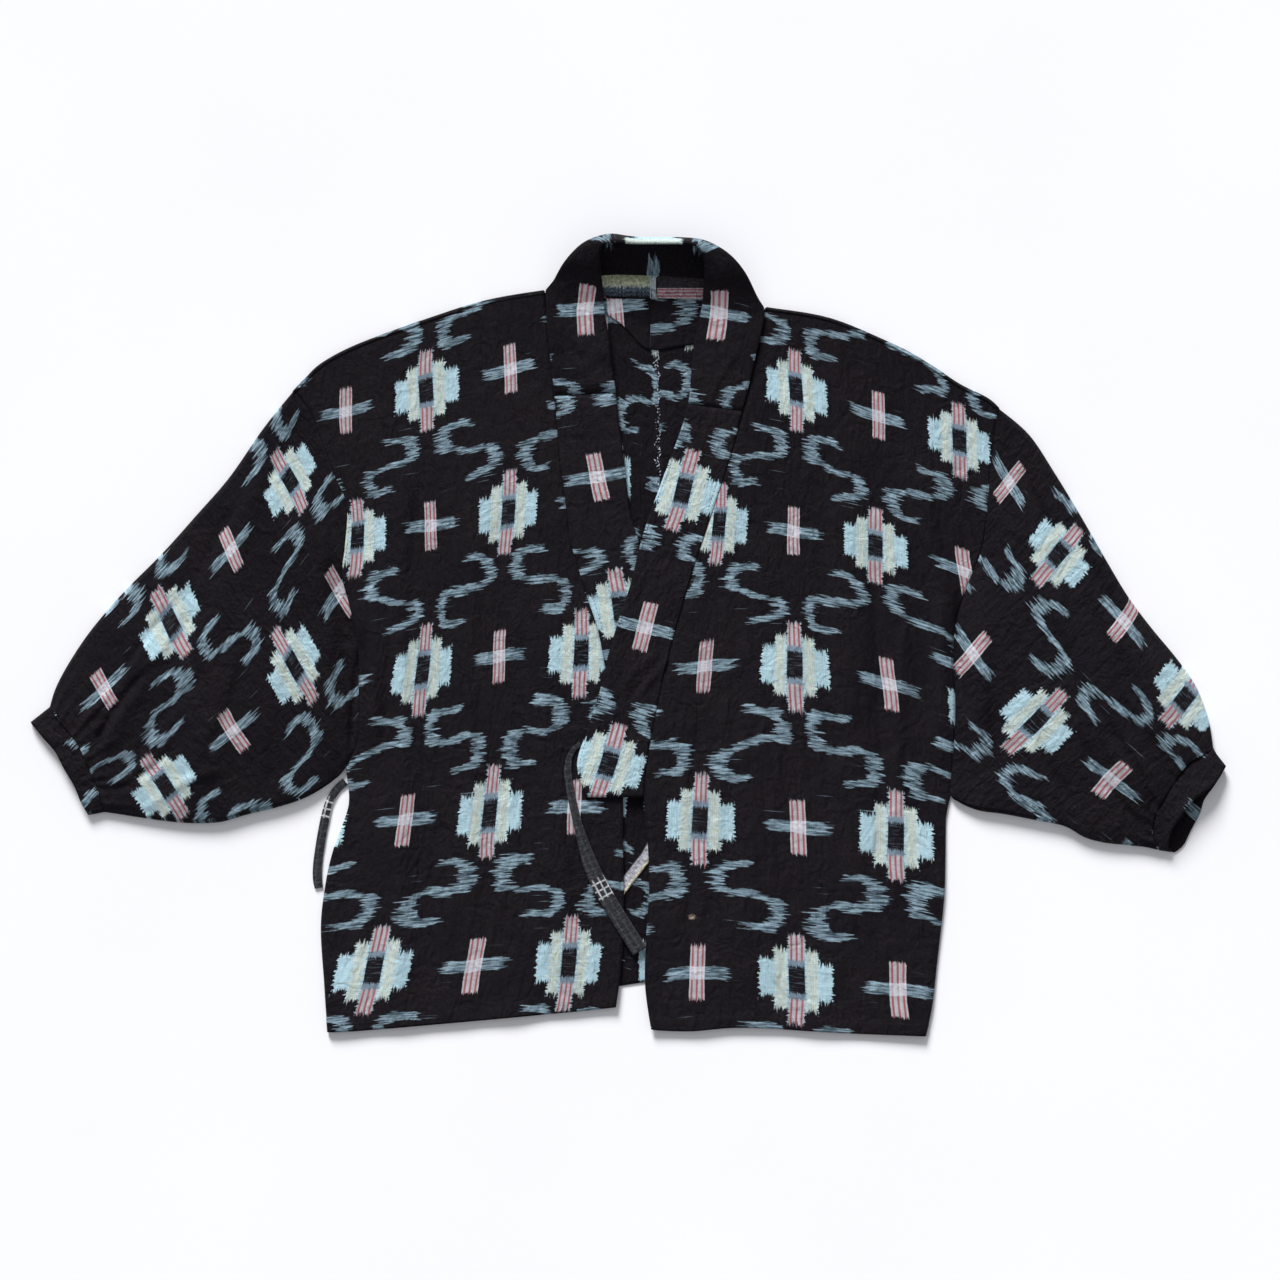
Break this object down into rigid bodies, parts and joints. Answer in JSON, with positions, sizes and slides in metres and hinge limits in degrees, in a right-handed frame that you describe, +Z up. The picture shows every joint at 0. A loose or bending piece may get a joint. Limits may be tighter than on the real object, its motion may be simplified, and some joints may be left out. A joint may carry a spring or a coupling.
{
  "type": "noragi jacket",
  "caption": "Short kimono-sleeved work jacket laid flat: straight body, full sleeves gathered into narrow cuffs, crossed collar band, and thin cloth ties.",
  "frame": {"origin": "centre of the bounding box on the surface that the jacket lies on", "axes": "+X from the picture's left cuff to its right cuff, +Y from the hem towards the collar, +Z up out of the surface, front of the jacket upwards"},
  "size_m": [1.1936, 0.8, 0.0414],
  "materials": {
    "kasuri_cotton": "matt dark woven cotton with a pale resist-dyed pattern",
    "green_scrap_cotton": "matt pale woven cotton",
    "red_scrap_cotton": "matt red striped woven cotton",
    "check_tie_cotton": "matt dark checked cotton",
    "pale_tie_cotton": "matt pale grey cotton"
  },
  "bodies": {
    "root": {"body_left": "kasuri_cotton", "body_right": "kasuri_cotton", "sleeve_left": "kasuri_cotton", "sleeve_right": "kasuri_cotton", "cuff_left": "kasuri_cotton", "cuff_right": "kasuri_cotton", "collar_left": "kasuri_cotton", "collar_right": "kasuri_cotton", "over_collar": "kasuri_cotton", "neck_facing": "kasuri_cotton", "neck_strip_left": "green_scrap_cotton", "neck_strip_right": "red_scrap_cotton", "tie_outer": "check_tie_cotton", "tie_side": "check_tie_cotton", "tie_inner": "pale_tie_cotton"}
  },
  "joints": []
}
